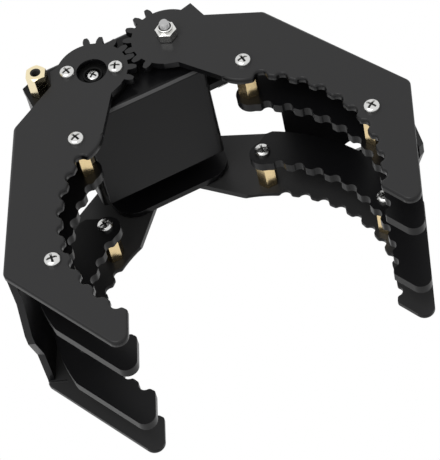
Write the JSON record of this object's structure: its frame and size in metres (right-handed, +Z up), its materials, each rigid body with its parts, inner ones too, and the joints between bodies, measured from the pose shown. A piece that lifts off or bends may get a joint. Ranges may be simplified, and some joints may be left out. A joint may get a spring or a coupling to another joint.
{
  "type": "robot gripper",
  "caption": "Servo gripper with toothed, mirrored claws of folded sheet and scalloped jaw plates on brass posts, for a robot arm.",
  "frame": {"origin": "middle of the four-hole bolt pattern, on the outer face of the frame's rear wall", "axes": "+X from the servo-driven claw to the other claw, -Y towards the fingertips, +Z up, out of the toothed top plates"},
  "size_m": [0.1252, 0.1028, 0.0632],
  "materials": {
    "black_sheet": "satin",
    "black_plastic": "matte",
    "brass": "machined",
    "steel": "plated",
    "horn_metal": "satin",
    "board_green": "matte",
    "sensor_grey": "matte",
    "lead_rubber": "matte"
  },
  "bodies": {
    "frame": {"servo_frame": "black_sheet", "servo_case": "black_plastic", "servo_gear_cover": "black_plastic", "servo_base_cover": "black_plastic", "servo_case_screws": "steel", "servo_motor": "steel", "control_board": "board_green", "position_sensor": "sensor_grey", "idler_pin": "steel", "output_bearing": "steel", "servo_lead_grommet": "lead_rubber", "ear_spacers": "brass", "ear_screws": "steel", "ear_nuts": "steel", "mounting_standoff": "brass", "upper_pivot_screw": "steel", "upper_pivot_bush": "brass", "upper_pivot_nut": "steel", "lower_pivot_bushes": "brass", "lower_pivot_washers": "steel", "lower_pivot_screws": "steel", "lower_pivot_nuts": "steel"},
    "left_claw": {"left_claw_channel": "black_sheet", "left_upper_jaw_plate": "black_sheet", "left_lower_jaw_plate": "black_sheet", "left_upper_standoffs": "brass", "left_lower_standoffs": "brass", "left_claw_screws": "steel", "servo_horn": "horn_metal", "horn_screws": "steel", "horn_centre_screw": "steel", "output_gear_shaft": "steel"},
    "right_claw": {"right_claw_channel": "black_sheet", "right_upper_jaw_plate": "black_sheet", "right_lower_jaw_plate": "black_sheet", "right_upper_standoffs": "brass", "right_lower_standoffs": "brass", "right_claw_screws": "steel"},
    "idler": {"idler_gear": "steel"},
    "pinion": {"motor_pinion": "steel"}
  },
  "joints": [
    {"name": "left_claw_pivot", "type": "hinge", "parent": "frame", "child": "left_claw", "pos_m": [-0.012, -0.0127, 0], "axis": [0, 0, 1], "range_deg": [-5, 24]},
    {"name": "right_claw_pivot", "type": "hinge", "parent": "frame", "child": "right_claw", "pos_m": [0.012, -0.0127, 0], "axis": [0, 0, 1], "range_deg": [-24, 5]},
    {"name": "idler_spin", "type": "hinge", "parent": "frame", "child": "idler", "pos_m": [-0.002, -0.0127, 0], "axis": [0, 0, 1], "range_deg": [-72, 15]},
    {"name": "motor_spin", "type": "hinge", "parent": "frame", "child": "pinion", "pos_m": [0.008, -0.0127, 0], "axis": [0, 0, 1], "range_deg": [-45, 216]}
  ],
  "couplings": [
    {"joint": "right_claw_pivot", "follows": "left_claw_pivot", "ratio": -1},
    {"joint": "idler_spin", "follows": "left_claw_pivot", "ratio": -3},
    {"joint": "motor_spin", "follows": "left_claw_pivot", "ratio": 9}
  ]
}
